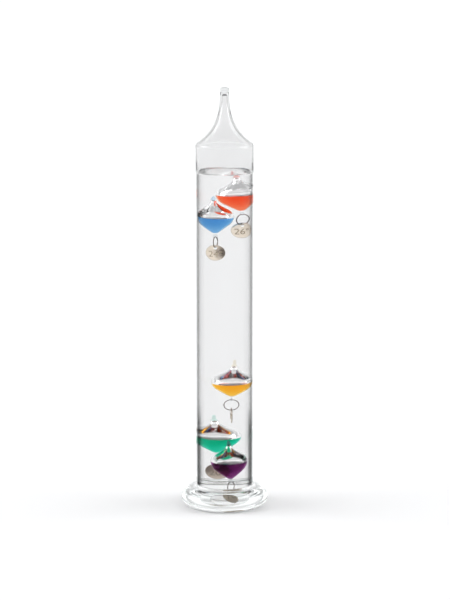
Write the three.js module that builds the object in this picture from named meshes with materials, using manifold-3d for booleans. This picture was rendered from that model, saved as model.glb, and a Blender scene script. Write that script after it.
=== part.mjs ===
// Galileo thermometer: a sealed glass column of clear liquid that stands in a glass foot.
// Five blown glass floats hang in the liquid, each with coloured dye inside, a glass eye
// below, a wire ring through the eye and a round metal tag on the ring.
// Units are millimetres, +Z is up, -Y is the front, and the origin is under the foot's centre.

import * as THREE from 'three';
import { mergeVertices } from 'three/addons/utils/BufferGeometryUtils.js';
import Module from 'manifold-3d';

const wasm = await Module();
wasm.setup();

// ---- driving dimensions ----

const GAP = 0.3; // left between pieces that touch or are fused on the real object
const ROUND_SIDES = 28; // sides of the tube, the foot and the liquid
const FLOAT_SIDES = 16; // sides of the blown floats
const ROOM_SIDES = 12; // sides of the hollows that the floats take in the liquid
const EYE_ROOM = 1.9; // radius of the hollow around a float's eye
const CHANNEL_RADIUS = 0.8; // of the slim way from a hollow up to the surface
const ROOM_MARGIN = 0.55; // from a bulb to its hollow's corners, so that the flats clear it too

const TOTAL_HEIGHT = 280;
const TUBE_RADIUS = 19;
const TUBE_WALL = 1.4;
const TUBE_BORE = TUBE_RADIUS - TUBE_WALL;
const TUBE_BOTTOM = 2.2; // underside of the tube, inside the foot's socket
const FLOOR_HEIGHT = 3.8; // lowest point inside the tube
const FLOOR_CORNER = 16; // radius between the bore and the floor
const HEEL_CORNER = 7.2; // radius between the tube's outside and its underside
const SHOULDER_HEIGHT = 242.8; // where the straight tube ends and the drawn tip starts
const TIP_RADIUS = 2.9; // outside of the drawn tip at its mouth
const TIP_BORE = 1.3;
const TIP_MOUTH = 276.6; // height of the mouth that the seal closes
const FLARE_RUN = 31; // height over which the shoulder narrows to the tip

const FOOT_RADIUS = 28.7;
const FOOT_THICKNESS = 12;
const FOOT_EDGE_TOP = 5.6; // rounding of the rim's upper edge
const FOOT_EDGE_BOTTOM = 4.8; // rounding of the rim's lower edge
const COLLAR_HEIGHT = 14.3; // top of the lip around the tube
const COLLAR_FILLET = 1.9; // hollow rounding between the lip and the foot's top
const COLLAR_LIP = 0.7; // thickness of the lip's edge

const LIQUID_LEVEL = 224;

const BULB_RADIUS = 10.2;
const BULB_WALL = 0.6;
const NECK_RADIUS = 1.9;
const NECK_BORE = 1.4;
const NECK_RIM = 11.4; // height of the neck's rim above the bulb's widest level
const SEAL_SHOULDER = 1.2; // height over which the seal narrows to its tip
const SEAL_TIP_RADIUS = 0.75;
const POINT_ROUND = 0.12; // how far the rounded point reaches below the cone's depth
const DYE_LEVEL = -0.5; // surface of the dye, measured from the same level

const EYE_RADIUS = 1.05; // middle of the glass eye's rod
const EYE_ROD = 0.38;
const EYE_DROP = EYE_RADIUS + EYE_ROD + GAP; // from the bulb's point to the eye's centre
const RING_RADIUS = 3.5; // middle of the wire
const WIRE_RADIUS = 0.28;
const RING_SPLIT = 0.12; // angle, in radians, left open where the wire's ends meet
const RUNNING_GAP = 0.12; // between linked pieces that move on each other

const TAG_RADIUS = 5.15;
const TAG_THICKNESS = 0.6;
const TAG_HOLE = 0.95;
const TAG_HOLE_INSET = 2.05; // from the tag's edge to the hole's centre

// Each float: its colour, the place of its widest circle, the depth of its lower cone, the
// height of its seal's crown above that circle, its lean from upright towards -X at the neck,
// and the turns about Z of its ring's plane and of its tag's face. Angles are in degrees.
const FLOATS = [
  {
    name: 'red', colour: 0xea4b2e, x: 6.35, y: 2.9, z: 209.9,
    depth: 11.3, crown: 13.9, lean: 6, ring: 51, tag: 80,
  },
  {
    name: 'blue', colour: 0x2f86cf, x: -5.3, y: -4.8, z: 195.8,
    depth: 11.1, crown: 13.6, lean: 2.5, ring: 66, tag: 84,
  },
  {
    name: 'yellow', colour: 0xffa22c, x: 3.85, y: -0.3, z: 83.8,
    depth: 9.4, crown: 15.6, lean: -3.3, ring: 4, tag: 8,
  },
  {
    name: 'green', colour: 0x04a778, x: -3.6, y: 5.7, z: 45.8,
    depth: 10.9, crown: 15.2, lean: 2.8, ring: 66, tag: 96,
    // Its tag hangs with its face turned a little up.
    slack: { lift: 0, hole: 0, rise: 0, tilt: 9 },
  },
  {
    name: 'purple', colour: 0x431034, x: 2.7, y: -5.9, z: 31.1,
    depth: 12.2, crown: 14.2, lean: 2.4, ring: 64, tag: 84,
    // Its tag rests on the floor: the ring is lifted slack in the eye, the wire passes through
    // the hole a little behind the ring's lowest point and clear of the hole's edge, and the
    // tag leans back.
    slack: { lift: 0.25, hole: 25, rise: 0.25, tilt: -50 },
  },
];

const GLASS = { color: 0xdfe6e6, roughness: 0.04, metalness: 0 };
const EYE_GLASS = { color: 0xe4eaea, roughness: 0.05, metalness: 0 };
const LIQUID = { color: 0xe9eeee, roughness: 0.02, metalness: 0 };
const STEEL = { color: 0x8d8783, roughness: 0.3, metalness: 1 };
const TAG_METAL = { color: 0xd2c9ba, roughness: 0.35, metalness: 1 };
const DYE_ROUGHNESS = 0.05;
const SEAL_ROUGHNESS = 0.25;
const SEAL_TINT = 0.45; // how far the seal's colour is washed out towards white

// ---- helpers ----

const radians = THREE.MathUtils.degToRad;

function point(r, z) {
  return new THREE.Vector2(r, z);
}

// Points along an arc of the outline, from one angle to another, both ends included.
function arc(r, z, radius, fromDegrees, toDegrees, steps) {
  return Array.from({ length: steps + 1 }, (_, i) => {
    const angle = radians(THREE.MathUtils.lerp(fromDegrees, toDegrees, i / steps));
    return point(r + radius * Math.cos(angle), z + radius * Math.sin(angle));
  });
}

// A body of revolution about Z. The outline runs up the outside, from its lowest point.
function turned(outline, sides) {
  const shape = new THREE.LatheGeometry(outline, sides);
  shape.rotateX(Math.PI / 2);
  return shape;
}

function solidOf(geometry) {
  const bare = geometry.clone();
  bare.deleteAttribute('normal');
  bare.deleteAttribute('uv');
  const merged = mergeVertices(bare, 1e-4);
  const vertProperties = new Float32Array(merged.attributes.position.array);
  const triVerts = new Uint32Array(merged.index.array);
  return new wasm.Manifold(new wasm.Mesh({ numProp: 3, vertProperties, triVerts }));
}

function geometryOf(solid) {
  const mesh = solid.getMesh();
  const geometry = new THREE.BufferGeometry();
  geometry.setAttribute('position', new THREE.BufferAttribute(mesh.vertProperties, 3));
  geometry.setIndex(new THREE.BufferAttribute(mesh.triVerts, 1));
  geometry.computeVertexNormals();
  return geometry;
}

function piece(name, geometry, finish) {
  const mesh = new THREE.Mesh(geometry, new THREE.MeshStandardMaterial(finish));
  mesh.name = name;
  return mesh;
}

// ---- the column ----

// Radius of the drawn glass at a height above the shoulder: a concave sweep from the tube's
// edge to the slim tip.
function flareRadius(rise, edge, tip) {
  const run = THREE.MathUtils.clamp(rise / FLARE_RUN, 0, 1);
  const bend = (1 - run) ** 3.2 * 0.72 + (1 - run) ** 1.5 * 0.28;
  return tip + (edge - tip) * bend;
}

const FLARE_STEPS = [0, 0.05, 0.11, 0.18, 0.27, 0.38, 0.52, 0.7, 1];

function glassTube() {
  const outside = [
    point(0, TUBE_BOTTOM),
    ...arc(TUBE_RADIUS - HEEL_CORNER, TUBE_BOTTOM + HEEL_CORNER, HEEL_CORNER, -90, 0, 4),
    ...FLARE_STEPS.map((s) => point(
      flareRadius(s * FLARE_RUN, TUBE_RADIUS, TIP_RADIUS), SHOULDER_HEIGHT + s * FLARE_RUN)),
    point(TIP_RADIUS, TIP_MOUTH),
  ];
  const inside = [
    point(TIP_BORE, TIP_MOUTH),
    ...FLARE_STEPS.map((s) => point(
      flareRadius(s * FLARE_RUN, TUBE_BORE, TIP_BORE), SHOULDER_HEIGHT - 1 + s * FLARE_RUN)).reverse(),
    ...arc(TUBE_BORE - FLOOR_CORNER, FLOOR_HEIGHT + FLOOR_CORNER, FLOOR_CORNER, 0, -90, 6),
    point(0, FLOOR_HEIGHT),
  ];
  return turned([...outside, ...inside], ROUND_SIDES);
}

// The melted bead that closes the drawn tip, with a short stem in its bore.
function tipSeal() {
  const stem = TIP_BORE - GAP;
  const bottom = TIP_MOUTH - 2;
  const cap = TIP_RADIUS - 0.35;
  const seat = TIP_MOUTH + GAP;
  return turned([
    point(0, bottom),
    point(stem, bottom),
    point(stem, seat),
    point(cap, seat),
    ...arc(cap - 1, TOTAL_HEIGHT - 1.2, 1.2, 0, 90, 3),
    point(0, TOTAL_HEIGHT),
  ], FLOAT_SIDES);
}

function foot() {
  const socket = TUBE_RADIUS + GAP;
  const lip = socket + COLLAR_LIP;
  return turned([
    point(0, 0),
    ...arc(FOOT_RADIUS - FOOT_EDGE_BOTTOM, FOOT_EDGE_BOTTOM, FOOT_EDGE_BOTTOM, -90, 0, 3),
    ...arc(FOOT_RADIUS - FOOT_EDGE_TOP, FOOT_THICKNESS - FOOT_EDGE_TOP, FOOT_EDGE_TOP, 0, 90, 5),
    ...arc(lip + COLLAR_FILLET, FOOT_THICKNESS + COLLAR_FILLET, COLLAR_FILLET, -90, -180, 3),
    point(lip, COLLAR_HEIGHT),
    point(socket, COLLAR_HEIGHT),
    ...arc(socket - HEEL_CORNER - GAP, TUBE_BOTTOM + HEEL_CORNER, HEEL_CORNER + GAP, 0, -90, 4),
    point(0, TUBE_BOTTOM - GAP),
  ], ROUND_SIDES);
}

// ---- a float, built about its own axis with its widest circle at height 0 ----

// The blown bulb's outline as fractions of its radius and of its depth or height. Its
// flanks are round at the widest circle and sweep in, slightly hollow, to point and neck.
const LOWER_FLANK = [[0.13, 1], [0.33, 0.83], [0.6, 0.62], [0.84, 0.42], [0.965, 0.2]];
const UPPER_FLANK = [[0.965, 0.2], [0.84, 0.4], [0.6, 0.6], [0.36, 0.79], [0.21, 0.95]];
const FLANK_HEIGHT = 9.4;

function bulbOutline(depth, inset) {
  const radius = BULB_RADIUS - inset;
  const below = LOWER_FLANK.map(([r, z]) => point(r * radius, -z * (depth - inset)));
  const above = UPPER_FLANK.map(([r, z]) => point(r * radius, z * (FLANK_HEIGHT - inset * 0.5)));
  return [...below, point(radius, 0), ...above];
}

function bulbShell(depth) {
  const outside = bulbOutline(depth, 0);
  const inside = bulbOutline(depth, BULB_WALL).slice(0, -1);
  return turned([
    point(0, -depth - POINT_ROUND),
    ...outside,
    point(NECK_RADIUS, FLANK_HEIGHT + 0.4),
    point(NECK_RADIUS, NECK_RIM),
    point(NECK_BORE, NECK_RIM),
    point(NECK_BORE, FLANK_HEIGHT - 0.4),
    ...inside.reverse(),
    point(0, -depth + BULB_WALL - 0.05),
  ], FLOAT_SIDES);
}

// The dye lies level in the bulb, however the bulb leans.
function dyeBody(spec) {
  const inset = BULB_WALL + GAP;
  const flanks = bulbOutline(spec.depth, inset);
  const room = turned([
    point(0, -spec.depth + inset + 0.35),
    ...flanks,
    point(0, flanks.at(-1).y),
  ], FLOAT_SIDES);
  room.rotateY(-radians(spec.lean));
  const side = 3 * BULB_RADIUS;
  const below = new THREE.BoxGeometry(side, side, side);
  below.translate(0, 0, DYE_LEVEL - side / 2);
  return geometryOf(solidOf(room).intersect(solidOf(below)));
}

// A plug in the neck that runs out in a drawn tip.
function neckSeal(crown) {
  const stem = NECK_BORE - GAP;
  const seat = NECK_RIM + GAP;
  return turned([
    point(0, NECK_RIM - 1.4),
    point(stem, NECK_RIM - 1.4),
    point(stem, seat),
    point(NECK_RADIUS - 0.1, seat),
    point(SEAL_TIP_RADIUS, seat + SEAL_SHOULDER),
    point(SEAL_TIP_RADIUS * 0.9, crown - 0.4),
    point(0, crown),
  ], 12);
}

// A torus that stands in the XZ plane.
function glassEye() {
  const shape = new THREE.TorusGeometry(EYE_RADIUS, EYE_ROD, 6, 12);
  shape.rotateX(Math.PI / 2);
  return shape;
}

// The wire, bent round from one side of its split to the other, in the XZ plane.
class RingLine extends THREE.Curve {
  getPoint(t, target = new THREE.Vector3()) {
    const angle = RING_SPLIT / 2 + t * (2 * Math.PI - RING_SPLIT);
    return target.set(RING_RADIUS * Math.cos(angle), 0, RING_RADIUS * Math.sin(angle));
  }
}

function wireRing() {
  const section = new THREE.Shape();
  section.absarc(0, 0, WIRE_RADIUS, 0, 2 * Math.PI);
  return new THREE.ExtrudeGeometry(section, {
    extrudePath: new RingLine(), steps: 22, curveSegments: 3, bevelEnabled: false,
  });
}

// A disc in the XZ plane whose origin is where the wire bears in its hole.
function tagDisc() {
  const outline = new THREE.Shape();
  outline.absarc(0, 0, TAG_RADIUS, 0, 2 * Math.PI);
  const hole = new THREE.Path();
  const holeHeight = TAG_RADIUS - TAG_HOLE_INSET;
  hole.absarc(0, holeHeight, TAG_HOLE, 0, 2 * Math.PI);
  outline.holes.push(hole);
  const shape = new THREE.ExtrudeGeometry(outline, {
    depth: TAG_THICKNESS, steps: 1, curveSegments: 11, bevelEnabled: false,
  });
  shape.translate(0, -holeHeight - TAG_HOLE + WIRE_RADIUS + RUNNING_GAP, -TAG_THICKNESS / 2);
  shape.rotateX(Math.PI / 2);
  return shape;
}

// How the ring and the tag stand away from hanging free: the ring's rise in the eye, the
// tag's angle round the ring, its rise in its own plane and its lean, in mm and degrees.
function slackOf(spec) {
  return spec.slack || { lift: 0, hole: 0, rise: 0, tilt: 0 };
}

// Height of the eye's centre, from the bulb's widest circle.
function eyeHeight(spec) {
  return -spec.depth - POINT_ROUND - EYE_DROP;
}

// A step of the ring's radius in the ring's own plane, at an angle from straight down.
function ringStep(spec, degrees) {
  const turn = new THREE.Euler(0, 0, radians(spec.ring));
  const out = RING_RADIUS * Math.sin(radians(degrees));
  return new THREE.Vector3(out, 0, -RING_RADIUS * Math.cos(radians(degrees))).applyEuler(turn);
}

// The frames of the bulb, the ring and the tag, so that solids can be placed on each.
function bulbFrame(spec) {
  const frame = new THREE.Group();
  frame.position.set(spec.x, spec.y, spec.z);
  frame.rotation.y = -radians(spec.lean);
  frame.updateMatrix();
  return frame;
}

function ringFrame(spec) {
  const bearing = -EYE_RADIUS + EYE_ROD + WIRE_RADIUS + RUNNING_GAP;
  const frame = new THREE.Group();
  frame.position.set(0, 0, eyeHeight(spec)).applyMatrix4(bulbFrame(spec).matrix);
  frame.position.z += bearing + slackOf(spec).lift - RING_RADIUS;
  frame.rotation.z = radians(spec.ring);
  return frame;
}

function tagFrame(spec) {
  const frame = new THREE.Group();
  frame.position.copy(ringFrame(spec).position).add(ringStep(spec, slackOf(spec).hole));
  frame.rotation.order = 'ZYX';
  frame.rotation.z = radians(spec.tag - 90);
  frame.rotation.x = -radians(slackOf(spec).tilt);
  frame.translateZ(slackOf(spec).rise);
  return frame;
}

function addFloat(parent, spec) {
  const bulb = bulbFrame(spec);
  const colour = new THREE.Color(spec.colour);
  const seal = colour.clone().lerp(new THREE.Color(0xffffff), SEAL_TINT);
  const sealFinish = { color: seal, roughness: SEAL_ROUGHNESS, metalness: 0 };
  const eye = piece(`${spec.name}_eye`, glassEye(), EYE_GLASS);
  eye.position.z = eyeHeight(spec);
  eye.rotation.z = radians(spec.ring + 90);
  bulb.add(
    piece(`${spec.name}_vessel`, bulbShell(spec.depth), GLASS),
    piece(`${spec.name}_seal`, neckSeal(spec.crown), sealFinish),
    eye,
  );
  const dyeFinish = { color: colour, roughness: DYE_ROUGHNESS, metalness: 0 };
  const dye = piece(`${spec.name}_dye`, dyeBody(spec), dyeFinish);
  dye.position.copy(bulb.position);
  const ring = ringFrame(spec);
  ring.add(piece(`${spec.name}_ring`, wireRing(), STEEL));
  const tag = tagFrame(spec);
  tag.add(piece(`${spec.name}_tag`, tagDisc(), TAG_METAL));
  parent.add(bulb, dye, ring, tag);
}

// ---- the liquid, hollowed around everything that hangs in it ----

function discRoom(frame, radius, thickness, centre) {
  const room = new THREE.CylinderGeometry(radius, radius, thickness, ROOM_SIDES);
  room.translate(0, 0, centre);
  frame.updateMatrix();
  room.applyMatrix4(frame.matrix);
  return solidOf(room);
}

// The room that a float takes, with a slim channel from its seal up to the surface, so that
// the hollow is open to the outside.
function floatRoom(spec) {
  const frame = bulbFrame(spec);
  const below = eyeHeight(spec) - EYE_RADIUS - EYE_ROD - GAP;
  const flanks = bulbOutline(spec.depth, -ROOM_MARGIN);
  const bulb = turned([
    point(0, below),
    point(EYE_ROOM, below),
    ...flanks.map((p) => point(Math.max(p.x, EYE_ROOM), p.y)),
    point(NECK_RADIUS + GAP + 0.1, spec.crown + GAP),
    point(0, spec.crown + GAP),
  ], ROOM_SIDES);
  bulb.applyMatrix4(frame.matrix);
  const tip = new THREE.Vector3(0, 0, spec.crown - 1).applyMatrix4(frame.matrix);
  const rise = LIQUID_LEVEL + 2 - tip.z;
  const channel = new THREE.CylinderGeometry(CHANNEL_RADIUS, CHANNEL_RADIUS, rise, 8);
  channel.rotateX(Math.PI / 2);
  channel.translate(tip.x, tip.y, tip.z + rise / 2);
  const tagCentre = WIRE_RADIUS + RUNNING_GAP - TAG_HOLE - (TAG_RADIUS - TAG_HOLE_INSET);
  return solidOf(bulb)
    .add(solidOf(channel))
    .add(discRoom(ringFrame(spec), RING_RADIUS + WIRE_RADIUS + 0.4, 1.3, 0))
    .add(discRoom(tagFrame(spec), TAG_RADIUS + 0.4, TAG_THICKNESS + 0.7, tagCentre));
}

function clearLiquid() {
  const radius = TUBE_BORE - GAP;
  const floor = FLOOR_HEIGHT + GAP;
  const column = turned([
    point(0, floor),
    ...arc(radius - FLOOR_CORNER, floor + FLOOR_CORNER, FLOOR_CORNER, -90, 0, 6),
    point(radius, LIQUID_LEVEL),
    point(0, LIQUID_LEVEL),
  ], ROUND_SIDES);
  return geometryOf(FLOATS.reduce(
    (rest, spec) => rest.subtract(floatRoom(spec)), solidOf(column)));
}

// ---- the whole ----

const thermometer = new THREE.Group();
thermometer.add(
  piece('foot', foot(), GLASS),
  piece('glass_tube', glassTube(), GLASS),
  piece('tip_seal', tipSeal(), GLASS),
  piece('clear_liquid', clearLiquid(), LIQUID),
);
FLOATS.forEach((spec) => addFloat(thermometer, spec));

export default thermometer;
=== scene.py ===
"""Looks of the Galileo thermometer: blown glass, clear liquid, coloured dyes, wire rings and
metal tags."""

import math

import bmesh
import bpy
from mathutils import Matrix, Vector


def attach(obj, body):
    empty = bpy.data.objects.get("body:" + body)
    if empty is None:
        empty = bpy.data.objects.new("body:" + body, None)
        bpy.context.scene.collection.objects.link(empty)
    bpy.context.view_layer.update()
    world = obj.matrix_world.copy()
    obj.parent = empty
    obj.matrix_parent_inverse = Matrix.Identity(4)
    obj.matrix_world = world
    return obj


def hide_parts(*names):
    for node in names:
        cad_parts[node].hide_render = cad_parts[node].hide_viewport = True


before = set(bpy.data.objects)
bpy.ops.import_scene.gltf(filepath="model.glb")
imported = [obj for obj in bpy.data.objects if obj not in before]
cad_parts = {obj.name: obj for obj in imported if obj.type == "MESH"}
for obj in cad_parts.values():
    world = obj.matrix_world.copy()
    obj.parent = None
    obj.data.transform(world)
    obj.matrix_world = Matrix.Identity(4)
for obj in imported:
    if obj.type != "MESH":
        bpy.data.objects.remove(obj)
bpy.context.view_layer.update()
scene = bpy.context.scene

# ---- camera: the view of the reference, 450 x 600 ----

CAMERA_PLACE = (0.0, -1.64508, 0.4371)
CAMERA_TILT = math.radians(79.7215)
CAMERA_SHIFT = 0.0007
CLIP_NEAR, CLIP_FAR = 0.01, 60
IMAGE_HEIGHT = 600
FOCAL_PIXELS = 2519.3
SENSOR = 36.0
GLASS_BOUNCES = 48  # enough for a way through the tube, the floats and the foot
GLOSSY_BOUNCES = 16
OPEN_BOUNCES = 64
BOUNCE_CLAMP = 6.0

camera_data = bpy.data.cameras.new("camera")
camera_data.sensor_width = SENSOR
camera_data.sensor_fit = "AUTO"
camera_data.lens = FOCAL_PIXELS * SENSOR / IMAGE_HEIGHT
camera_data.shift_x = CAMERA_SHIFT
camera_data.clip_start = CLIP_NEAR
camera_data.clip_end = CLIP_FAR
camera = bpy.data.objects.new("camera", camera_data)
camera.location = CAMERA_PLACE
camera.rotation_euler = (CAMERA_TILT, 0, 0)
scene.collection.objects.link(camera)
scene.camera = camera
scene.view_settings.view_transform = "Standard"
scene.view_settings.look = "None"
scene.cycles.max_bounces = GLASS_BOUNCES
scene.cycles.transmission_bounces = GLASS_BOUNCES
scene.cycles.glossy_bounces = GLOSSY_BOUNCES
scene.cycles.transparent_max_bounces = OPEN_BOUNCES
scene.cycles.sample_clamp_indirect = BOUNCE_CLAMP

# ---- sizes in millimetres, as in the CAD part unless a comment says otherwise ----

MM = 0.001
TOUCH = 0.02  # left between pieces that touch
ON_AXIS = 1e-9  # a smaller radius closes a body of revolution

TUBE_RADIUS = 19.0
TUBE_BORE = 17.6
DRY_BORE = 18.1  # the bore above the liquid, where the looks' wall is thinner
TUBE_BOTTOM = 2.2
FLOOR_HEIGHT = 3.8
FLOOR_CORNER = 16.0
HEEL_CORNER = 7.2
SHOULDER = 242.8
FLARE_RUN = 31.0
TIP_RADIUS = 2.9
TIP_BORE = 1.3
TIP_MOUTH = 276.6
TIP_RIM = 0.25  # how far the tube's end stands over the mouth
TIP_STEM = 2.0  # how far the bead reaches down the bore
TOTAL_HEIGHT = 280.0
FOOT_RADIUS = 28.7
FOOT_THICKNESS = 12.0
FOOT_EDGE_TOP = 7.0  # rounder than in the CAD part
FOOT_EDGE_BOTTOM = 4.8
COLLAR_HEIGHT = 14.3
COLLAR_FILLET = 1.9
COLLAR_LIP = 0.7
COLLAR_BEVEL = 0.25
LIQUID_LEVEL = 224.0
MENISCUS = 0.45  # how far it climbs the wall, in the looks only

BULB_RADIUS = 10.2
BULB_WALL = 0.4  # thinner than in the CAD part
NECK_RADIUS = 1.9
NECK_BORE = 1.45  # wider than in the CAD part
NECK_RIM = 11.4
FLANK_HEIGHT = 9.4
POINT_ROUND = 0.12
DYE_LEVEL = -0.5
EYE_RADIUS = 1.05
EYE_ROD = 0.38
EYE_GAP = 0.3
RING_RADIUS = 3.5
WIRE_RADIUS = 0.28
RING_STRAND = 0.14  # radius of each of the split ring's two turns
RING_TALL = 1.6  # how much thicker a turn is outwards than sideways
RING_START = 0.12  # angle at which the wire starts, and before which it ends, in radians
RUNNING_GAP = 0.12
TAG_RADIUS = 5.15
TAG_THICKNESS = 0.6
TAG_HOLE = 0.95
TAG_HOLE_INSET = 2.05
TAG_HOLE_HEIGHT = TAG_RADIUS - TAG_HOLE_INSET
TAG_DROP = WIRE_RADIUS + RUNNING_GAP - TAG_HOLE_HEIGHT - TAG_HOLE  # from the wire to its middle

# Each float: place of its widest circle, depth of its lower cone, height of its drawn tip,
# lean of its neck towards -X, ring and tag turns and the numeral on its tag. Then where the
# painted shade on its tag is darkest (mm from the wire), how strong it is, the roughness of its
# faces and how metallic they look. The green and purple tags also tilt. The purple one stands
# on the floor, so its ring is lifted off the eye, and its hole is off the ring's lowest point
# and raised from the wire.
FLOATS = {
    "red": dict(at=(6.35, 2.9, 209.9), depth=11.3, crown=13.9, lean=6, ring=51, tag=80,
                mark="26", shade_centre=(6, 0, 0), shade_strength=0.15, polish=0.1, metal=0.8),
    "blue": dict(at=(-5.3, -4.8, 195.8), depth=11.1, crown=13.6, lean=2.5, ring=66, tag=84,
                 mark="24", shade_centre=(5, 0, -3), shade_strength=0.95, polish=0.1, metal=0.8),
    "yellow": dict(at=(3.85, -0.3, 83.8), depth=9.4, crown=15.6, lean=-3.3, ring=4, tag=8,
                   mark="22", shade_centre=(0, 0, 2), shade_strength=0.7, polish=0.2, metal=0.8),
    "green": dict(at=(-3.6, 5.7, 45.8), depth=10.9, crown=15.2, lean=2.8, ring=66, tag=96,
                  mark="20", shade_centre=(-6, 0, -1), shade_strength=0.6, polish=0.5, metal=0.6, tilt=9),
    "purple": dict(at=(2.7, -5.9, 31.1), depth=12.2, crown=14.2, lean=2.4, ring=64, tag=84,
                   mark="18", shade_centre=(6, 0, 0), shade_strength=0.05, polish=0.5, metal=0.0, tilt=-50,
                   lift=0.25, hole=25, rise=0.25),
}

# What part of the red, green and blue light comes through each float's widest level, and the
# tint of its drawn tip.
DYES = {
    "red": dict(through=(0.98, 0.095, 0.03), seal=(0.95, 0.62, 0.60)),
    "blue": dict(through=(0.08, 0.30, 0.67), seal=(0.72, 0.86, 0.96)),
    "yellow": dict(through=(1.0, 0.42, 0.02), seal=(0.98, 0.94, 0.85)),
    "green": dict(through=(0.003, 0.45, 0.23), seal=(0.80, 0.94, 0.90)),
    "purple": dict(through=(0.08, 0.006, 0.066), seal=(0.66, 0.52, 0.66)),
}
DYE_DEPTH = 16.0 * MM  # length of the way through the widest level
STAIN = 0.5  # share of the colour that lies on the wall, so that thin parts keep it too

# ---- mesh helpers ----


def arc(r, z, radius, start, end, steps):
    """Outline points along an arc, in degrees, both ends included."""
    points = []
    for i in range(steps + 1):
        a = math.radians(start + (end - start) * i / steps)
        points.append((r + radius * math.cos(a), z + radius * math.sin(a)))
    return points


def smooth_line(points, per_span):
    """Points on a smooth curve through the given ones (Catmull-Rom)."""
    out = []
    padded = [points[0]] + list(points) + [points[-1]]
    for i in range(1, len(padded) - 2):
        p0, p1, p2, p3 = padded[i - 1:i + 3]
        for k in range(per_span):
            t = k / per_span
            out.append(tuple(
                0.5 * (2 * b + (c - a) * t + (2 * a - 5 * b + 4 * c - d) * t * t
                       + (3 * b - a - 3 * c + d) * t ** 3)
                for a, b, c, d in zip(p0, p1, p2, p3)))
    out.append(tuple(points[-1]))
    return out


def finish_mesh(name, bm):
    """Turns a bmesh into a piece of the scene."""
    mesh = bpy.data.meshes.new(name)
    bm.to_mesh(mesh)
    bm.free()
    piece = bpy.data.objects.new(name, mesh)
    scene.collection.objects.link(piece)
    return piece


def lathe(name, zones, sides):
    """A closed body of revolution. zones is a list of (outline points, material index) that
    run up the outside and back down the inside; a point with radius 0 closes the end."""
    outline = []
    for points, index in zones:
        for point in points:
            if not outline or outline[-1][0] != point:
                outline.append((point, index))
    bm = bmesh.new()
    rings = []
    for (r, z), _ in outline:
        if r <= ON_AXIS:
            rings.append([bm.verts.new((0, 0, z * MM))])
            continue
        rings.append([bm.verts.new((r * math.cos(2 * math.pi * i / sides) * MM,
                                    r * math.sin(2 * math.pi * i / sides) * MM, z * MM))
                      for i in range(sides)])
    count = len(rings)
    closed = outline[0][0][0] > ON_AXIS
    for k in range(count if closed else count - 1):
        low, high = rings[k], rings[(k + 1) % count]
        if len(low) == 1 and len(high) == 1:
            continue
        for i in range(sides):
            j = (i + 1) % sides
            if len(low) == 1:
                face = bm.faces.new((low[0], high[j], high[i]))
            elif len(high) == 1:
                face = bm.faces.new((low[i], low[j], high[0]))
            else:
                face = bm.faces.new((low[i], low[j], high[j], high[i]))
            face.material_index = outline[(k + 1) % count][1]
            face.smooth = True
    return finish_mesh(name, bm)


def tube_along(name, centres, radius, sides, closed, tall=1.0):
    """A rod along a line of points near the XZ plane, round or taller than it is wide."""
    bm = bmesh.new()
    count = len(centres)
    rings = []
    for i, c in enumerate(centres):
        before = centres[(i - 1) % count] if closed or i else c
        after = centres[(i + 1) % count] if closed or i < count - 1 else c
        along = (after - before).normalized()
        side = Vector((0, 1, 0)) - along * along.y
        side.normalize()
        up = along.cross(side)
        rings.append([bm.verts.new((c + side * (radius * math.cos(2 * math.pi * k / sides))
                                    + up * (radius * tall * math.sin(2 * math.pi * k / sides)))
                                   * MM) for k in range(sides)])
    for i in range(count if closed else count - 1):
        a, b = rings[i], rings[(i + 1) % count]
        for k in range(sides):
            j = (k + 1) % sides
            bm.faces.new((a[k], a[j], b[j], b[k])).smooth = True
    if not closed:
        bm.faces.new(list(reversed(rings[0])))
        bm.faces.new(rings[-1])
    bmesh.ops.recalc_face_normals(bm, faces=bm.faces)
    return finish_mesh(name, bm)


def place(piece, body, slot, *nodes):
    """Puts a piece on its body, in the place of its CAD nodes. slot is not used."""
    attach(piece, body)
    if nodes:
        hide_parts(*nodes)
    return piece


# ---- material helpers ----

RIPPLE_DETAIL = 1.0


def material(name):
    """An empty material: itself, its nodes and links, and its output node."""
    mat = bpy.data.materials.new(name)
    mat.use_nodes = True
    nodes = mat.node_tree.nodes
    nodes.clear()
    return mat, nodes, mat.node_tree.links, nodes.new("ShaderNodeOutputMaterial")


def spread(nodes, links, source, start=(0, 1), end=(0, 1), smooth=False):
    """Maps a value's range start to the range end."""
    node = nodes.new("ShaderNodeMapRange")
    if smooth:
        node.interpolation_type = "SMOOTHSTEP"
    node.inputs["From Min"].default_value, node.inputs["From Max"].default_value = start
    node.inputs["To Min"].default_value, node.inputs["To Max"].default_value = end
    links.new(source, node.inputs["Value"])
    return node.outputs["Result"]


def colour_mix(nodes, links, share, first, second):
    """Mixes two colours; the second is a socket or a fixed colour."""
    blend = nodes.new("ShaderNodeMix")
    blend.data_type = "RGBA"
    links.new(share, blend.inputs["Factor"])
    links.new(first, blend.inputs["A"])
    if isinstance(second, tuple):
        blend.inputs["B"].default_value = (*second, 1)
    else:
        links.new(second, blend.inputs["B"])
    return blend.outputs["Result"]


def ramp(nodes, links, source, stops):
    """A grey that follows a value along (position, brightness) stops."""
    node = nodes.new("ShaderNodeValToRGB")
    elements = node.color_ramp.elements
    elements[0].position, elements[0].color = stops[0][0], (*[stops[0][1]] * 3, 1)
    elements[1].position, elements[1].color = stops[-1][0], (*[stops[-1][1]] * 3, 1)
    for position, value in stops[1:-1]:
        elements.new(position).color = (value, value, value, 1)
    links.new(source, node.inputs["Fac"])
    return node.outputs["Color"]


def two_tone(nodes, links, source, dark, light):
    node = nodes.new("ShaderNodeValToRGB")
    node.color_ramp.elements[0].color = (*dark, 1)
    node.color_ramp.elements[1].color = (*light, 1)
    links.new(source, node.inputs["Fac"])
    return node.outputs["Color"]


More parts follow.
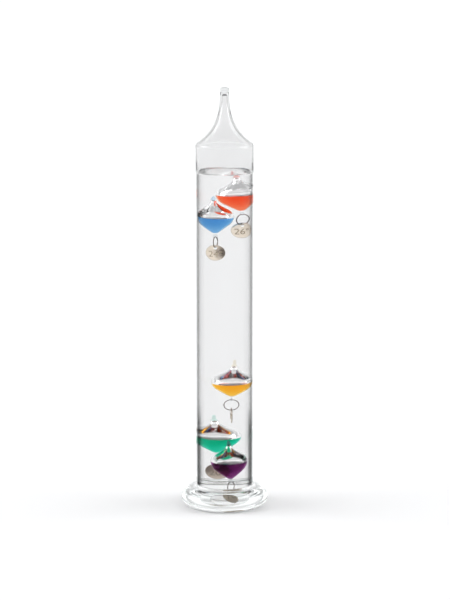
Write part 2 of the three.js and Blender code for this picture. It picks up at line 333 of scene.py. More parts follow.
def fine_noise(nodes, links, scale, detail=None):
    """Noise that is fixed to the piece, and the piece's own coordinates."""
    coords = nodes.new("ShaderNodeTexCoord")
    grain = nodes.new("ShaderNodeTexNoise")
    grain.inputs["Scale"].default_value = scale
    if detail is not None:
        grain.inputs["Detail"].default_value = detail
    links.new(coords.outputs["Object"], grain.inputs["Vector"])
    return grain.outputs["Fac"], coords.outputs["Object"]


def ripple(nodes, links, scale, strength, distance, stretch=(1, 1, 1)):
    """A bump of soft noise, the waviness of blown or drawn glass."""
    coords = nodes.new("ShaderNodeTexCoord")
    mapping = nodes.new("ShaderNodeMapping")
    mapping.inputs["Scale"].default_value = stretch
    links.new(coords.outputs["Object"], mapping.inputs["Vector"])
    grain = nodes.new("ShaderNodeTexNoise")
    grain.inputs["Scale"].default_value = scale
    grain.inputs["Detail"].default_value = RIPPLE_DETAIL
    links.new(mapping.outputs["Vector"], grain.inputs["Vector"])
    bump = nodes.new("ShaderNodeBump")
    bump.inputs["Strength"].default_value = strength
    bump.inputs["Distance"].default_value = distance
    links.new(grain.outputs["Fac"], bump.inputs["Height"])
    return bump.outputs["Normal"]


# ---- glass and liquids ----

# Each face where two clear materials meet is modelled once, with the ratio of their two
# indices of refraction.
AIR_TO_GLASS = 1.47
LIQUID_IOR = 1.43
DYE_IOR = 1.42
FOOT_IOR = 1.5
EYE_IOR = 1.06  # higher than glass to liquid, so that the small loop can be seen
SURFACE_SHARE = 0.3  # how strongly the middle of the liquid's top shows
SEAL_HAZE = 0.05  # how milky the drawn tips are
SEAL_PALE = 0.6  # how far their tone varies towards white
SEAL_GRAIN = 900

# Painted shade: how a thick round wall is darkened towards its outline, as (facing,
# brightness):
# where it holds liquid, the same near the foot, and above the liquid.
WET_EDGE_SHADE = [(0.0, 0.905), (0.26, 0.895), (0.36, 0.84), (0.44, 0.78), (0.52, 0.64), (0.59, 0.42),
            (0.70, 0.40), (0.77, 0.85), (0.82, 1.0)]
LOW_EDGE_SHADE = [(0.0, 0.905), (0.30, 0.885), (0.42, 0.66), (0.50, 0.30), (0.56, 0.16), (0.68, 0.16),
            (0.74, 0.50), (0.80, 1.0)]
DRY_WALL_SHADE = [(0.0, 0.88), (1.0, 0.90)]
LOW_EDGE_SHADE_FULL, LOW_EDGE_SHADE_NONE = 0.050, 0.075  # metres above the floor

# How the tube and the bead reflect: share of the reflection of what they face, and the
# greatest reflection at their outline.
DRY_GLOSS = dict(sheen=0.3, cap=0.85)
WET_GLOSS = dict(sheen=0.15)
BEAD_GLOSS = dict(sheen=0.3, cap=0.6)

DRAWN = dict(scale=60, strength=0.05, distance=0.0006, stretch=(1, 1, 0.06))
BLOWN = dict(scale=260, strength=0.18, distance=0.0008)
MOULDED = dict(scale=70, strength=0.12, distance=0.001)
MELTED = dict(scale=300, strength=0.4, distance=0.0006)

FOOT_TINT = (0.995, 1.0, 0.998)
EYE_TINT = (0.93, 0.94, 0.95)
BEAD_TINT = (0.88, 0.885, 0.885)


def painted_wall_shade(nodes, links, edge, low_edge_shade):
    """Painted shade: the grey of a thick round wall, which changes to the low ramp near the
    foot.
    """
    facing = nodes.new("ShaderNodeLayerWeight").outputs["Facing"]
    upper = ramp(nodes, links, facing, edge)
    if not low_edge_shade:
        return upper
    lower = ramp(nodes, links, facing, low_edge_shade)
    coords = nodes.new("ShaderNodeTexCoord")
    split = nodes.new("ShaderNodeSeparateXYZ")
    links.new(coords.outputs["Object"], split.inputs[0])
    height = spread(nodes, links, split.outputs["Z"], (LOW_EDGE_SHADE_FULL, LOW_EDGE_SHADE_NONE),
                    smooth=True)
    return colour_mix(nodes, links, height, lower, upper)


def weak_glass(nodes, links, ior, sheen, cap):
    """Refraction and reflection mixed by a weakened Fresnel law."""
    bodies = [nodes.new("ShaderNodeBsdfRefraction"), nodes.new("ShaderNodeBsdfAnisotropic")]
    fresnel = nodes.new("ShaderNodeFresnel")
    fresnel.inputs["IOR"].default_value = ior
    head_on = ((ior - 1) / (ior + 1)) ** 2
    share = spread(nodes, links, fresnel.outputs[0], (head_on, 1), (head_on * sheen, cap))
    surface = nodes.new("ShaderNodeMixShader")
    links.new(share, surface.inputs["Fac"])
    for body, socket in zip(bodies, surface.inputs[1:]):
        links.new(body.outputs[0], socket)
    return surface, bodies


def glass(name, ior, edge=None, low_edge_shade=None, tint=(1, 1, 1), bump=None, sheen=1.0, cap=1.0):
    """Clear glass. edge and the low ramp paint shade on a thick round wall, darker towards its
    outline. sheen below 1 weakens the reflection of what the glass faces, and cap the
    reflection at its outline, which only counts together with a sheen below 1."""
    mat, nodes, links, out = material(name)
    normal = ripple(nodes, links, **bump) if bump else None
    colour = painted_wall_shade(nodes, links, edge, low_edge_shade) if edge else None
    if sheen == 1.0:
        surface = nodes.new("ShaderNodeBsdfGlass")
        bodies = [surface]
    else:
        surface, bodies = weak_glass(nodes, links, ior, sheen, cap)
    for body in bodies:
        body.inputs["Roughness"].default_value = 0.0
        if "IOR" in body.inputs:
            body.inputs["IOR"].default_value = ior
        if colour:
            links.new(colour, body.inputs["Color"])
        else:
            body.inputs["Color"].default_value = (*tint, 1)
        if normal:
            links.new(normal, body.inputs["Normal"])
    links.new(surface.outputs[0], out.inputs["Surface"])
    return mat


def unseen(name):
    """The face between two touching clear bodies of the same kind."""
    mat, nodes, links, out = material(name)
    body = nodes.new("ShaderNodeBsdfTransparent")
    links.new(body.outputs[0], out.inputs["Surface"])
    return mat


def top_or_side(name, ior, absorption=None):
    """A body of liquid: its level top bends light, and its sides lie against glass whose own
    faces bend it."""
    mat, nodes, links, out = material(name)
    top = nodes.new("ShaderNodeBsdfGlass")
    top.inputs["IOR"].default_value = ior
    top.inputs["Roughness"].default_value = 0.0
    side = nodes.new("ShaderNodeBsdfTransparent")
    mask = nodes.new("ShaderNodeAttribute")
    mask.attribute_name = "surface"
    mix = nodes.new("ShaderNodeMixShader")
    links.new(mask.outputs["Fac"], mix.inputs["Fac"])
    links.new(side.outputs[0], mix.inputs[1])
    links.new(top.outputs[0], mix.inputs[2])
    links.new(mix.outputs[0], out.inputs["Surface"])
    if absorption:
        colour, density = absorption
        volume = nodes.new("ShaderNodeVolumeAbsorption")
        volume.inputs["Color"].default_value = (*colour, 1)
        volume.inputs["Density"].default_value = density
        links.new(volume.outputs[0], out.inputs["Volume"])
    return mat


def mark_surface(piece, share):
    """Writes the face attribute that tells how strongly a face of the liquid bends light."""
    layer = piece.data.attributes.new("surface", "FLOAT", "FACE")
    for polygon in piece.data.polygons:
        layer.data[polygon.index].value = share(polygon)


def seal_tint(name, colour):
    """Drawn glass tinted towards the dye's colour."""
    mat, nodes, links, out = material(f"{name}_seal")
    grain, _ = fine_noise(nodes, links, SEAL_GRAIN)
    pale = [c + (1 - c) * SEAL_PALE for c in colour]
    tone = two_tone(nodes, links, grain, colour, pale)
    body = nodes.new("ShaderNodeBsdfGlass")
    body.inputs["IOR"].default_value = AIR_TO_GLASS / LIQUID_IOR
    haze = nodes.new("ShaderNodeBsdfDiffuse")
    mix = nodes.new("ShaderNodeMixShader")
    mix.inputs["Fac"].default_value = SEAL_HAZE
    for shader, socket in zip((body, haze), mix.inputs[1:]):
        links.new(tone, shader.inputs["Color"])
        links.new(shader.outputs[0], socket)
    links.new(mix.outputs[0], out.inputs["Surface"])
    return mat


# the tube's outside carries painted shade, darker towards its outline
tube_dry = glass("tube_dry_outside", AIR_TO_GLASS, edge=DRY_WALL_SHADE, bump=DRAWN, **DRY_GLOSS)
tube_wet = glass("tube_wet_outside", AIR_TO_GLASS, edge=WET_EDGE_SHADE, low_edge_shade=LOW_EDGE_SHADE, bump=DRAWN,
                 **WET_GLOSS)
tube_bore_dry = glass("tube_dry_bore", AIR_TO_GLASS, **DRY_GLOSS)
tube_bore_wet = glass("tube_wet_bore", AIR_TO_GLASS / LIQUID_IOR)
joined = unseen("fused_face")
foot_glass = glass("foot_glass", FOOT_IOR, tint=FOOT_TINT, bump=MOULDED)
clear_liquid = top_or_side("clear_liquid", LIQUID_IOR)
float_outside = glass("float_outside", AIR_TO_GLASS / LIQUID_IOR, bump=BLOWN)
float_air = glass("float_inside_air", AIR_TO_GLASS, bump=BLOWN)
eye_glass = glass("eye_glass", EYE_IOR, tint=EYE_TINT)

# ---- metal and ink ----

WIRE_TONES = dict(dark=(0.14, 0.12, 0.11), light=(0.32, 0.28, 0.26))
RIM_TONES = dict(dark=(0.20, 0.15, 0.11), light=(0.42, 0.34, 0.27))
INK_TONES = dict(dark=(0.50, 0.41, 0.30), light=(0.64, 0.54, 0.41))
PLATE_TONES = dict(dark=(0.96, 0.82, 0.66), light=(1.0, 0.91, 0.79))
# Painted shade on one side of each tag: its brown tone, and how far it reaches
TAG_SHADE_TONE = (0.13, 0.10, 0.08)
TAG_SHADE_REACH = (1.5 * MM, 7.5 * MM)  # where it is full, and where it has faded out
POLISH_RANGE = 0.08  # how much rougher the grain makes the tag here and there
PLATE_GRAIN = dict(scale=600, detail=4)


def grained(name, tones, scale, metallic, rough):
    """Metal or ink whose tone varies with a fine grain. rough is one value or a range."""
    mat, nodes, links, out = material(name)
    body = nodes.new("ShaderNodeBsdfPrincipled")
    body.inputs["Metallic"].default_value = metallic
    grain, _ = fine_noise(nodes, links, scale)
    links.new(two_tone(nodes, links, grain, **tones), body.inputs["Base Color"])
    if isinstance(rough, tuple):
        links.new(spread(nodes, links, grain, end=rough), body.inputs["Roughness"])
    else:
        body.inputs["Roughness"].default_value = rough
    links.new(body.outputs[0], out.inputs["Surface"])
    return mat


def tag_metal(name, spec):
    """Pale plated metal with grain, darkened from one side by brown painted shade."""
    mat, nodes, links, out = material(f"{name}_tag_metal")
    body = nodes.new("ShaderNodeBsdfPrincipled")
    body.inputs["Metallic"].default_value = spec["metal"]
    grain, here = fine_noise(nodes, links, **PLATE_GRAIN)
    plate = two_tone(nodes, links, grain, **PLATE_TONES)
    # the painted shade fades with the distance from where it is darkest
    away = nodes.new("ShaderNodeVectorMath")
    away.operation = "DISTANCE"
    away.inputs[1].default_value = tag_matrix(spec) @ (Vector(spec["shade_centre"]) * MM)
    links.new(here, away.inputs[0])
    shade_share = spread(nodes, links, away.outputs["Value"], TAG_SHADE_REACH, (spec["shade_strength"], 0.0),
                   smooth=True)
    links.new(colour_mix(nodes, links, shade_share, plate, TAG_SHADE_TONE), body.inputs["Base Color"])
    rough = spread(nodes, links, grain, end=(spec["polish"], spec["polish"] + POLISH_RANGE))
    links.new(rough, body.inputs["Roughness"])
    links.new(body.outputs[0], out.inputs["Surface"])
    return mat


ring_wire = grained("ring_wire", WIRE_TONES, scale=900, metallic=1.0, rough=(0.22, 0.42))
tag_rim = grained("tag_edge", RIM_TONES, scale=1200, metallic=0.7, rough=0.4)
tag_mark = grained("tag_mark", INK_TONES, scale=2500, metallic=0.0, rough=0.6)

# ---- column ----

COLUMN_SIDES = 128
BEAD_SIDES = 48
WALL_HEIGHTS = (60, 120, 180)  # extra rings up the long straight wall
FLARE_STEPS = 60
FLARE_CROWD = 1.35  # the steps crowd towards the shoulder
FLARE_CURVE = ((3.2, 0.72), (1.5, 0.28))  # (power, share) of the two curves it is made of
FLARE_INSET = 0.3  # where the flare takes over from the shoulder's bend
BORE_SHOULDER = 0.6  # how much lower the flare starts on the inside

# The shoulder is a soft bend, not a crease: (inwards, upwards) from its corner, for the
# outside and for the bore.
SHOULDER_BEND = [(0, -3), (0, -1.2), (0.03, -0.7), (0.14, -0.25)]
BORE_BEND = [(0.14, -0.85), (0.03, -1.3), (0, -1.8), (0, -4)]
# Where the bore narrows above the liquid, as (radius, height above it).
BORE_STEP = [(DRY_BORE, 8), (DRY_BORE - 0.1, 6.5), (TUBE_BORE + 0.1, 2.5), (TUBE_BORE, 1.5)]
TIP_BEVEL = 0.05

# The lower end of the bead's stem is hollow: (share of its radius, depth below the mouth).
STEM_END = [(0, 1.1), (0.5, 1.25), (0.85, 1.6), (1, TIP_STEM)]
BEAD_WAIST = TIP_RADIUS - 0.06
BEAD_SIDE = (TIP_RADIUS - 0.02, TIP_MOUTH + 0.9)
BEAD_ROUND = 1.45
BEAD_MIDDLE = TIP_RADIUS - 1.5  # radius at which its rounded rim starts

MENISCUS_REACH = 2.6  # how far from the wall it is modelled
MENISCUS_FALL = 0.75  # distance over which it falls to about a third
MENISCUS_STEPS = 12
MENISCUS_CROWD = 1.6  # the steps crowd towards the wall
LEVEL_RADII = (14.2, 13.4, 12.6, 11.8, 11.0, 8.0, 4.0, 0)
SURFACE_CLEAR = 11  # radius within which the liquid's top shows least
SURFACE_FADE = 3.5  # distance from there over which it comes to show fully
LEVEL_SLACK = 0.1  # faces further below the level are the liquid's side
LEVEL_SLOPE = 0.05  # and so are faces that look up less than this
LIQUID_GAP = 0.03  # between the liquid and the glass


def flare_line(edge, tip, base):
    """The outline of the flare, from the shoulder's bend up to the tip."""
    points = []
    for i in range(FLARE_STEPS + 1):
        rise = (i / FLARE_STEPS) ** FLARE_CROWD * FLARE_RUN
        left = 1 - min(rise / FLARE_RUN, 1)
        radius = tip + (edge - tip) * sum(left ** power * part for power, part in FLARE_CURVE)
        if radius < edge - FLARE_INSET:
            points.append((radius, base + rise))
    return points


def column():
    heel = arc(TUBE_RADIUS - HEEL_CORNER, TUBE_BOTTOM + HEEL_CORNER, HEEL_CORNER, -90, 0, 16)
    underside = [(0, TUBE_BOTTOM), heel[0]]
    inside_foot = heel + [(TUBE_RADIUS, COLLAR_HEIGHT)]
    wet = [(TUBE_RADIUS, z) for z in (COLLAR_HEIGHT, *WALL_HEIGHTS, LIQUID_LEVEL)]
    dry = [(TUBE_RADIUS, LIQUID_LEVEL)]
    dry += [(TUBE_RADIUS - inwards, SHOULDER + up) for inwards, up in SHOULDER_BEND]
    dry += flare_line(TUBE_RADIUS, TIP_RADIUS, SHOULDER)
    dry += [(TIP_RADIUS, TIP_MOUTH + TIP_RIM - TIP_BEVEL)]
    tip = [(TIP_RADIUS - TIP_BEVEL, TIP_MOUTH + TIP_RIM), (TIP_BORE, TIP_MOUTH + TIP_RIM),
           (TIP_BORE, TIP_MOUTH - TIP_STEM)]
    bore_dry = list(reversed(flare_line(DRY_BORE, TIP_BORE, SHOULDER - BORE_SHOULDER)))
    bore_dry += [(DRY_BORE - inwards, SHOULDER + up) for inwards, up in BORE_BEND]
    bore_dry += [(radius, LIQUID_LEVEL + up) for radius, up in BORE_STEP]
    bore_dry += [(TUBE_BORE, LIQUID_LEVEL + MENISCUS)]
    bore_wet = [(TUBE_BORE, z) for z in (LIQUID_LEVEL + MENISCUS, LIQUID_LEVEL - 3,
                                         *reversed(WALL_HEIGHTS),
                                         FLOOR_HEIGHT + FLOOR_CORNER + 2)]
    bore_wet += arc(TUBE_BORE - FLOOR_CORNER, FLOOR_HEIGHT + FLOOR_CORNER, FLOOR_CORNER,
                    0, -90, 24)
    bore_wet += [(0, FLOOR_HEIGHT)]
    piece = lathe("column_glass", [(underside, 2), (inside_foot, 4), (wet, 0), (dry, 1),
                                   (tip, 4), (bore_dry, 2), (bore_wet, 3)], COLUMN_SIDES)
    for mat in (tube_wet, tube_dry, tube_bore_dry, tube_bore_wet, joined):
        piece.data.materials.append(mat)
    return place(piece, "column", "tube_glass", "glass_tube")


def tip_bead():
    """The tip's melted end: a rounded crown over a stem that closes the bore."""
    stem = TIP_BORE - TOUCH
    seat = TIP_MOUTH + TIP_RIM + TOUCH
    bottom = [(stem * part, TIP_MOUTH - depth) for part, depth in STEM_END]
    fused = [(stem, seat), (BEAD_WAIST, seat)]
    crown = [(BEAD_WAIST, seat), BEAD_SIDE]
    crown += arc(BEAD_MIDDLE, TOTAL_HEIGHT - BEAD_ROUND, BEAD_ROUND, 0, 90, 10)
    crown += [(0, TOTAL_HEIGHT)]
    piece = lathe("tip_bead", [(bottom, 0), (fused, 1), (crown, 0)], BEAD_SIDES)
    piece.data.materials.append(glass("tip_bead_glass", AIR_TO_GLASS, tint=BEAD_TINT,
                                      bump=MELTED, **BEAD_GLOSS))
    piece.data.materials.append(joined)
    return place(piece, "column", "tip_glass", "tip_seal")


def liquid_column():
    radius = TUBE_BORE - LIQUID_GAP
    floor_level = FLOOR_HEIGHT + LIQUID_GAP
    side = [(0, floor_level)]
    side += arc(radius - FLOOR_CORNER, floor_level + FLOOR_CORNER, FLOOR_CORNER, -90, 0, 24)
    side += [(radius, 100), (radius, LIQUID_LEVEL + MENISCUS)]
    top = [(radius, LIQUID_LEVEL + MENISCUS)]
    for k in range(1, MENISCUS_STEPS + 1):
        inset = MENISCUS_REACH * (k / MENISCUS_STEPS) ** MENISCUS_CROWD
        climb = MENISCUS * math.exp(-inset / MENISCUS_FALL)
        top.append((radius - inset, LIQUID_LEVEL + climb))
    top += [(r, LIQUID_LEVEL) for r in LEVEL_RADII]
    piece = lathe("liquid_column", [(side, 0), (top, 0)], COLUMN_SIDES)
    piece.data.materials.append(clear_liquid)

    def share(polygon):
        """The surface shows most near the wall."""
        if (polygon.center.z < (LIQUID_LEVEL - LEVEL_SLACK) * MM
                or polygon.normal.z < LEVEL_SLOPE):
            return 0.0
        beyond = (polygon.center.xy.length / MM - SURFACE_CLEAR) / SURFACE_FADE
        return SURFACE_SHARE + (1 - SURFACE_SHARE) * min(max(beyond, 0), 1)

    mark_surface(piece, share)
    return place(piece, "column", "liquid", "clear_liquid")


def foot_disc():
    socket = TUBE_RADIUS + TOUCH
    lip = socket + COLLAR_LIP
    outside = [(0, 0)]
    outside += arc(FOOT_RADIUS - FOOT_EDGE_BOTTOM, FOOT_EDGE_BOTTOM, FOOT_EDGE_BOTTOM,
                   -90, 0, 14)
    outside += arc(FOOT_RADIUS - FOOT_EDGE_TOP, FOOT_THICKNESS - FOOT_EDGE_TOP, FOOT_EDGE_TOP,
                   0, 90, 18)
    outside += arc(lip + COLLAR_FILLET, FOOT_THICKNESS + COLLAR_FILLET, COLLAR_FILLET,
                   -90, -180, 10)
    outside += [(lip - COLLAR_BEVEL, COLLAR_HEIGHT), (socket, COLLAR_HEIGHT)]
    inside = [(socket, COLLAR_HEIGHT)]
    inside += arc(socket - HEEL_CORNER - TOUCH, TUBE_BOTTOM + HEEL_CORNER, HEEL_CORNER + TOUCH,
                  0, -90, 16)
    middle = [(0, TUBE_BOTTOM - TOUCH)]
    piece = lathe("foot_disc", [(outside, 0), (inside, 1), (middle, 0)], COLUMN_SIDES)
    piece.data.materials.append(foot_glass)
    piece.data.materials.append(joined)
    return place(piece, "column", "foot_glass", "foot")


# ---- floats ----

BULB_SIDES = 64
SEAL_SIDES = 32
LINE_STEPS = 5  # points between two of the outline's given ones
DYE_ROOF = 7  # how many points of the bulb's roof the dye's outline takes in before it is cut

# The bulb's flanks from its point to its widest circle and on to the neck, as shares of its
# radius and of its depth or height.
LOWER = [(0.0, 1.0), (0.13, 0.985), (0.33, 0.83), (0.6, 0.62), (0.84, 0.42), (0.965, 0.2),
         (1.0, 0.0)]
UPPER = [(1.0, 0.0), (0.965, 0.2), (0.84, 0.4), (0.6, 0.6), (0.36, 0.79), (0.21, 0.95)]
NECK_LINE = [(NECK_RADIUS + 0.05, FLANK_HEIGHT + 0.5), (NECK_RADIUS, FLANK_HEIGHT + 1.0),
             (NECK_RADIUS, NECK_RIM - 0.5), (NECK_RADIUS - 0.15, NECK_RIM - 0.15),
             (NECK_RADIUS - 0.6, NECK_RIM), (0, NECK_RIM + 0.02)]
# The air in the neck ends in a round crown, melted shut.
AIR_CROWN_FOOT, AIR_CROWN_RISE = NECK_RIM - 1.2, 0.9
AIR_CROWN_ANGLES = range(0, 91, 15)
# The seal, as (radius, height above the neck's rim) and (radius, depth below its own tip).
SEAL_ROOT = [(0, 0.05), (NECK_RADIUS - 0.3, 0.05), (1.45, 0.4), (1.0, 0.9), (0.8, 1.4)]
SEAL_TIP = [(0.75, 0.6), (0.6, 0.2), (0.3, 0.04), (0, 0)]
SAME_PLACE = 1e-9  # metres
SAME_LEVEL = 1e-6


def bulb_line(depth, inset):
    """The bulb's flanks from the point up to the neck's root, as two smooth lines."""
    radius = BULB_RADIUS - inset
    height = FLANK_HEIGHT - inset * 0.5
    below = smooth_line([(r * radius, -z * (depth - inset)) for r, z in LOWER], LINE_STEPS)
    above = smooth_line([(r * radius, z * height) for r, z in UPPER], LINE_STEPS)
    return below, above


def bulb_matrix(spec):
    return (Matrix.Translation(Vector(spec["at"]) * MM)
            @ Matrix.Rotation(-math.radians(spec["lean"]), 4, "Y"))


def dye_top(spec):
    """Height of the dye's level surface, in metres."""
    return (spec["at"][2] + DYE_LEVEL) * MM


def split_level(bm, faces, height, clear=False):
    """Cuts faces along the level plane at a height in metres. The edges and corners are listed
    in a fixed order, so that each run gives the same mesh."""
    edges = dict.fromkeys(edge for face in faces for edge in face.edges)
    verts = dict.fromkeys(vert for face in faces for vert in face.verts)
    bmesh.ops.bisect_plane(bm, geom=[*faces, *edges, *verts], dist=SAME_PLACE,
                           plane_co=(0, 0, height), plane_no=(0, 0, 1), clear_outer=clear)


def vessel(name, spec):
    below, above = bulb_line(spec["depth"], 0)
    outside = below + above[1:] + NECK_LINE
    below, above = bulb_line(spec["depth"], BULB_WALL)
    air = [(NECK_BORE * math.sin(a), AIR_CROWN_FOOT + AIR_CROWN_RISE * math.cos(a))
           for a in map(math.radians, AIR_CROWN_ANGLES)]
    air += [(NECK_BORE, FLANK_HEIGHT)]
    air += [p for p in reversed(above) if p[0] > NECK_BORE]
    air += list(reversed(below))[1:]
    piece = lathe(f"{name}_glass", [(outside, 0), (air, 1)], BULB_SIDES)
    piece.data.transform(bulb_matrix(spec))
    # the dye lies level, so its line on the inner wall is level too
    level = dye_top(spec)
    bm = bmesh.new()
    bm.from_mesh(piece.data)
    split_level(bm, [face for face in bm.faces if face.material_index == 1], level)
    for face in bm.faces:
        if face.material_index == 1 and face.calc_center_median().z < level:
            face.material_index = 2
    bm.to_mesh(piece.data)
    bm.free()
    stained = glass(f"{name}_inside_dye", AIR_TO_GLASS / DYE_IOR,
                    tint=[part ** (STAIN / 2) for part in DYES[name]["through"]])
    for mat in (float_outside, float_air, stained):
        piece.data.materials.append(mat)
    return place(piece, f"{name}_bulb", "float_glass", f"{name}_vessel")


def dye(name, spec):
    below, above = bulb_line(spec["depth"], BULB_WALL + TOUCH)
    outline = below + above[1:DYE_ROOF + 1] + [(0, above[DYE_ROOF][1])]
    piece = lathe(f"{name}_liquid", [(outline, 0)], BULB_SIDES)
    piece.data.transform(bulb_matrix(spec))
    level = dye_top(spec)
    bm = bmesh.new()
    bm.from_mesh(piece.data)
    split_level(bm, list(bm.faces), level, clear=True)
    rim = [edge for edge in bm.edges if edge.is_boundary]
    for face in bmesh.ops.contextual_create(bm, geom=rim)["faces"]:
        face.smooth = False
        if face.normal.z < 0:
            face.normal_flip()
    bm.to_mesh(piece.data)
    bm.free()
    loss = [-(1 - STAIN) * math.log(part) / DYE_DEPTH for part in DYES[name]["through"]]
    density = max(loss)
    colour = [1 - part / density for part in loss]
    piece.data.materials.append(top_or_side(f"{name}_dye", DYE_IOR, (colour, density)))
    mark_surface(piece, lambda polygon: float(polygon.center.z > level - SAME_LEVEL))
    return place(piece, f"{name}_float", f"{name}_dye", f"{name}_dye")


def neck_seal(name, spec):
    """Melted glass in the neck that runs out in a drawn tip."""
    outline = [(radius, NECK_RIM + up) for radius, up in SEAL_ROOT]
    outline += [(radius, spec["crown"] - down) for radius, down in SEAL_TIP]
    piece = lathe(f"{name}_neck_seal", [(outline, 0)], SEAL_SIDES)
    piece.data.transform(bulb_matrix(spec))
    piece.data.materials.append(seal_tint(name, DYES[name]["seal"]))
    return place(piece, f"{name}_bulb", f"{name}_seal", f"{name}_seal")


# ---- eyes, rings and tags ----

EYE_STEPS, EYE_SIDES = 40, 14
WIRE_STEPS, WIRE_SIDES = 132, 12
CROSSING, CROSSING_LENGTH = 0.45, 0.1  # where the wire changes to its second turn, in shares
STRAND_TOUCH = 1.02  # makes the two turns touch

TAG_SIDES = 72
TAG_CHAMFER = 0.12
TAG_SAG = 0.1  # how far the slightly domed faces fall off
TAG_DOME, TAG_DOME_SHARE = 0.7, 0.8  # how far in from the rim most of that is reached
HOLE_BEVEL = [(0, 0.12), (0.06, 0.07)]  # (radius beyond the hole's, depth below the face)
TAG_EDGE = (3, 4, 5)  # which bands of the tag's outline are its cut edge

NUMERAL_SIZE = 5.4
NUMERAL_RELIEF = 0.03
NUMERAL_LOW = 1.0  # how far below the tag's middle it sits
NUMERAL_LIFT = 0.01  # how far it lies off the tag's flat plane


def eye_height(spec):
    return -spec["depth"] - POINT_ROUND - EYE_RADIUS - EYE_ROD - EYE_GAP


def eye(name, spec):
    """A loop of glass just below the bulb's point."""
    turns = [2 * math.pi * i / EYE_STEPS for i in range(EYE_STEPS)]
    points = [Vector((EYE_RADIUS * math.cos(a), 0, EYE_RADIUS * math.sin(a))) for a in turns]
    piece = tube_along(f"{name}_loop", points, EYE_ROD, EYE_SIDES, True)
    piece.data.transform(bulb_matrix(spec) @ Matrix.Translation((0, 0, eye_height(spec) * MM))
                         @ Matrix.Rotation(math.radians(spec["ring"] + 90), 4, "Z"))
    piece.data.materials.append(eye_glass)
    return place(piece, f"{name}_bulb", "eye_glass", f"{name}_eye")


def ring_matrix(spec):
    centre = bulb_matrix(spec) @ Vector((0, 0, eye_height(spec) * MM))
    bearing = -EYE_RADIUS + EYE_ROD + WIRE_RADIUS + RUNNING_GAP
    centre.z += (bearing + spec.get("lift", 0) - RING_RADIUS) * MM
    return Matrix.Translation(centre) @ Matrix.Rotation(math.radians(spec["ring"]), 4, "Z")


def split_ring(name, spec):
    """A wire that runs nearly twice round, its two turns side by side."""
    points = []
    for i in range(WIRE_STEPS + 1):
        t = i / WIRE_STEPS
        a = RING_START + t * (4 * math.pi - 2 * RING_START)
        cross = min(max((t - CROSSING) / CROSSING_LENGTH, 0), 1)
        side = RING_STRAND * (2 * cross * cross * (3 - 2 * cross) - 1)
        points.append(Vector((RING_RADIUS * math.cos(a), side, RING_RADIUS * math.sin(a))))
    piece = tube_along(f"{name}_wire", points, RING_STRAND * STRAND_TOUCH, WIRE_SIDES, False,
                       RING_TALL)
    piece.data.transform(ring_matrix(spec))
    piece.data.materials.append(ring_wire)
    return place(piece, f"{name}_link", "ring_wire", f"{name}_ring")


def tag_matrix(spec):
    hole = math.radians(spec.get("hole", 0))
    step = Vector((RING_RADIUS * math.sin(hole), 0, -RING_RADIUS * math.cos(hole))) * MM
    centre = ring_matrix(spec) @ step
    turn = (Matrix.Rotation(math.radians(spec["tag"] - 90), 4, "Z")
            @ Matrix.Rotation(-math.radians(spec.get("tilt", 0)), 4, "X"))
    rise = Matrix.Translation((0, 0, spec.get("rise", 0) * MM))
    return Matrix.Translation(centre) @ turn @ rise


def tag_disc(name, spec):
    """A round disc with a bevelled rim and a hole, in the XZ plane."""
    half = TAG_THICKNESS / 2
    # half of the outline, as (radius, distance from the middle plane, height of its centre)
    outline = [(TAG_HOLE + out, half - down, TAG_HOLE_HEIGHT) for out, down in HOLE_BEVEL]
    outline += [(TAG_RADIUS - TAG_DOME, half - TAG_SAG * TAG_DOME_SHARE, 0),
                (TAG_RADIUS - TAG_CHAMFER, half - TAG_SAG, 0),
                (TAG_RADIUS, half - TAG_SAG - TAG_CHAMFER, 0)]
    outline = [(radius, -depth, up) for radius, depth, up in outline] + outline[::-1]
    bm = bmesh.new()
    rings = []
    for radius, depth, up in outline:
        turns = [2 * math.pi * i / TAG_SIDES for i in range(TAG_SIDES)]
        rings.append([bm.verts.new((radius * math.cos(a) * MM, depth * MM,
                                    (up + radius * math.sin(a) + TAG_DROP) * MM))
                      for a in turns])
    for k, a in enumerate(rings):
        b = rings[(k + 1) % len(rings)]
        for i in range(TAG_SIDES):
            j = (i + 1) % TAG_SIDES
            bm.faces.new((a[i], a[j], b[j], b[i])).material_index = int(k in TAG_EDGE)
    bmesh.ops.recalc_face_normals(bm, faces=bm.faces)
    piece = finish_mesh(f"{name}_disc", bm)
    piece.data.transform(tag_matrix(spec))
    piece.data.materials.append(tag_metal(name, spec))
    piece.data.materials.append(tag_rim)
    return place(piece, f"{name}_label", "tag_metal", f"{name}_tag")


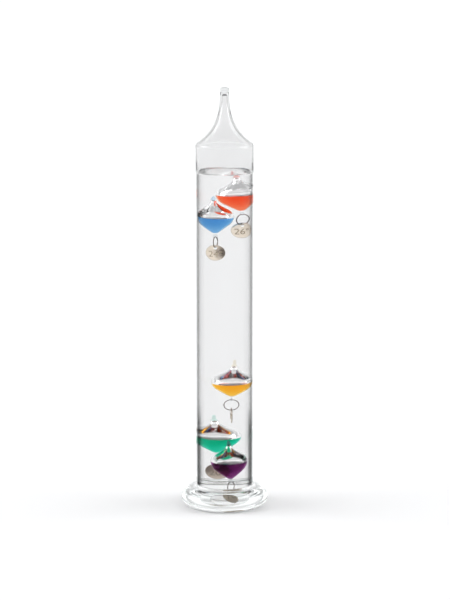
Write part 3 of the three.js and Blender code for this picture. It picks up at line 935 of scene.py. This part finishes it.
def tag_numeral(name, spec):
    """The temperature on both faces of the tag, with a small degree ring."""
    curve = bpy.data.curves.new(f"{name}_text", "FONT")
    curve.body = spec["mark"] + "°"
    curve.size = NUMERAL_SIZE * MM
    curve.align_x = "CENTER"
    curve.align_y = "CENTER"
    curve.extrude = NUMERAL_RELIEF * MM
    holder = bpy.data.objects.new(f"{name}_text", curve)
    scene.collection.objects.link(holder)
    bpy.context.view_layer.update()
    evaluated = holder.evaluated_get(bpy.context.evaluated_depsgraph_get())
    shape = bpy.data.meshes.new_from_object(evaluated)
    bpy.data.objects.remove(holder)
    bpy.data.curves.remove(curve)
    bm = bmesh.new()
    for turn in (0, math.pi):
        side = bmesh.new()
        side.from_mesh(shape)
        bmesh.ops.transform(side, verts=side.verts, matrix=(
            Matrix.Translation((0, 0, (TAG_DROP - NUMERAL_LOW) * MM))
            @ Matrix.Rotation(turn, 4, "Z")
            @ Matrix.Translation((0, -(TAG_THICKNESS / 2 + NUMERAL_LIFT) * MM, 0))
            @ Matrix.Rotation(math.pi / 2, 4, "X")))
        part = bpy.data.meshes.new("part")
        side.to_mesh(part)
        side.free()
        bm.from_mesh(part)
        bpy.data.meshes.remove(part)
    bpy.data.meshes.remove(shape)
    piece = finish_mesh(f"{name}_numeral", bm)
    piece.data.transform(tag_matrix(spec))
    piece.data.materials.append(tag_mark)
    return place(piece, f"{name}_label", "tag_metal")


column()
tip_bead()
liquid_column()
foot_disc()
for colour_name, layout in FLOATS.items():
    for build in (vessel, dye, neck_seal, eye, split_ring, tag_disc, tag_numeral):
        build(colour_name, layout)

# ---- floor and light ----

FLOOR_ALBEDO = 0.94
FLOOR_REACH = 14
FLOOR_SINK = 0.0002

# The studio, seen from the object. Turns are in radians from straight behind it, positive to
# the right; heights are the upward part of a unit direction. Each range is (from, to,
# softness). Soft boxes stand at the left and the right and hang overhead, and the wall behind
# is brightest low down.
SOFT_BOXES = [  # turn, height, strength
    ((-1.95, -1.05, 0.12), (0.02, 0.72, 0.06), 3.0),
    ((1.05, 1.95, 0.12), (0.02, 0.72, 0.06), 2.6),
    ((-2.1, 2.1, 0.15), (0.45, 0.70, 0.05), 0.35),
    ((-0.7, 0.7, 0.2), (-1.5, 0.3, 0.08), 0.46),
]
WALL_TURN, WALL_LIGHT = (-2.1, 2.1, 0.15), 0.38
FILL_HEIGHT, FILL_LIGHT = (-1.5, 0.7, 0.1), 0.7  # from the camera's side, on the tags' faces
BASE_LIGHT = 0.14
LIGHT_LEVEL = 1.15
LIGHT_TINT = (0.985, 0.99, 1.0)


def floor():
    bm = bmesh.new()
    corners = [(-FLOOR_REACH, -FLOOR_REACH), (FLOOR_REACH, -FLOOR_REACH),
               (FLOOR_REACH, FLOOR_REACH), (-FLOOR_REACH, FLOOR_REACH)]
    bm.faces.new([bm.verts.new((x, y, -FLOOR_SINK)) for x, y in corners])
    piece = finish_mesh("floor", bm)
    mat, nodes, links, out = material("pale_floor")
    body = nodes.new("ShaderNodeBsdfDiffuse")
    body.inputs["Color"].default_value = (FLOOR_ALBEDO, FLOOR_ALBEDO, FLOOR_ALBEDO, 1)
    links.new(body.outputs[0], out.inputs["Surface"])
    piece.data.materials.append(mat)


def studio():
    """A grey studio, all far away."""
    world = bpy.data.worlds.new("studio")
    scene.world = world
    world.use_nodes = True
    nodes, links = world.node_tree.nodes, world.node_tree.links
    nodes.clear()
    out = nodes.new("ShaderNodeOutputWorld")
    back = nodes.new("ShaderNodeBackground")
    coords = nodes.new("ShaderNodeTexCoord")
    split = nodes.new("ShaderNodeSeparateXYZ")
    links.new(coords.outputs["Generated"], split.inputs[0])

    def calc(kind, a, b):
        node = nodes.new("ShaderNodeMath")
        node.operation = kind
        for socket, value in zip(node.inputs, (a, b)):
            if isinstance(value, (int, float)):
                socket.default_value = value
            else:
                links.new(value, socket)
        return node.outputs[0]

    def band(source, low, high, soft):
        """1 where the source lies between low and high, 0 outside."""
        rise = spread(nodes, links, source, (low - soft, low + soft), smooth=True)
        fall = spread(nodes, links, source, (high - soft, high + soft), (1, 0), smooth=True)
        return calc("MULTIPLY", rise, fall)

    x, y, height = split.outputs
    turn = calc("ARCTAN2", x, y)
    wall = band(turn, *WALL_TURN)
    total = calc("ADD", calc("MULTIPLY", wall, WALL_LIGHT), BASE_LIGHT)
    for turns, heights, strength in SOFT_BOXES:
        box = calc("MULTIPLY", band(turn, *turns), band(height, *heights))
        total = calc("ADD", total, calc("MULTIPLY", box, strength))
    fill = calc("MULTIPLY", calc("SUBTRACT", 1.0, wall), band(height, *FILL_HEIGHT))
    total = calc("ADD", total, calc("MULTIPLY", fill, FILL_LIGHT))
    links.new(calc("MULTIPLY", total, LIGHT_LEVEL), back.inputs["Strength"])
    back.inputs["Color"].default_value = (*LIGHT_TINT, 1)
    links.new(back.outputs[0], out.inputs["Surface"])


floor()
studio()
